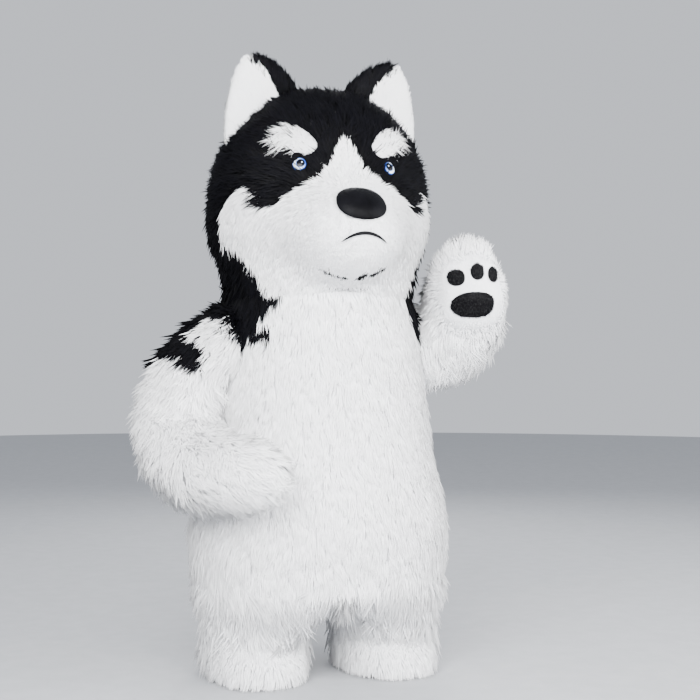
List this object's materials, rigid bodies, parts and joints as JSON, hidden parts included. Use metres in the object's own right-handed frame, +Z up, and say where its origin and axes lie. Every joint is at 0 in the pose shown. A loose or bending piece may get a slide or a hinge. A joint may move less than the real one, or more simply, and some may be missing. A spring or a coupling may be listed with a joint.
{
  "type": "dog mascot costume",
  "caption": "Full-body husky dog mascot costume in long white and black fur, one arm bent to the belly and one paw raised.",
  "frame": {"origin": "middle of the neck seam, where the costume rests on the wearer's shoulders", "axes": "+Z up the wearer, -Y the way the costume faces, +X the costume's own left, which is the raised paw's side"},
  "size_m": [1.1806, 0.8281, 1.9851],
  "materials": {
    "white_fur": "long shaggy pile",
    "white_short_pile": "short smooth pile",
    "black_fur": "long shaggy pile",
    "black_short_pile": "short pile",
    "eye_gloss": "glossy dome",
    "black_cloth": "smooth, slightly glossy cloth",
    "sole_sheet": "matt non-slip sheet"
  },
  "bodies": {
    "root": {"head_mask": "white_fur", "body_front": "white_fur", "sleeve_left": "white_fur", "sleeve_right": "white_fur", "mitt_left": "white_fur", "mitt_right": "white_fur", "leg_left": "white_fur", "leg_right": "white_fur", "foot_left": "white_fur", "foot_right": "white_fur", "brow_left": "white_short_pile", "brow_right": "white_short_pile", "ear_lining_left": "white_short_pile", "ear_lining_right": "white_short_pile", "hood_left": "black_fur", "hood_right": "black_fur", "ear_back_left": "black_fur", "ear_back_right": "black_fur", "shoulder_left": "black_fur", "shoulder_right": "black_fur", "back_left": "black_fur", "back_right": "black_fur", "sleeve_top_left": "black_fur", "sleeve_top_right": "black_fur", "toe_pad_inner": "black_short_pile", "toe_pad_middle": "black_short_pile", "toe_pad_outer": "black_short_pile", "palm_pad": "black_short_pile", "eye_left": "eye_gloss", "eye_right": "eye_gloss", "nose": "black_cloth", "mouth": "black_cloth", "sole_left": "sole_sheet", "sole_right": "sole_sheet"}
  },
  "joints": []
}
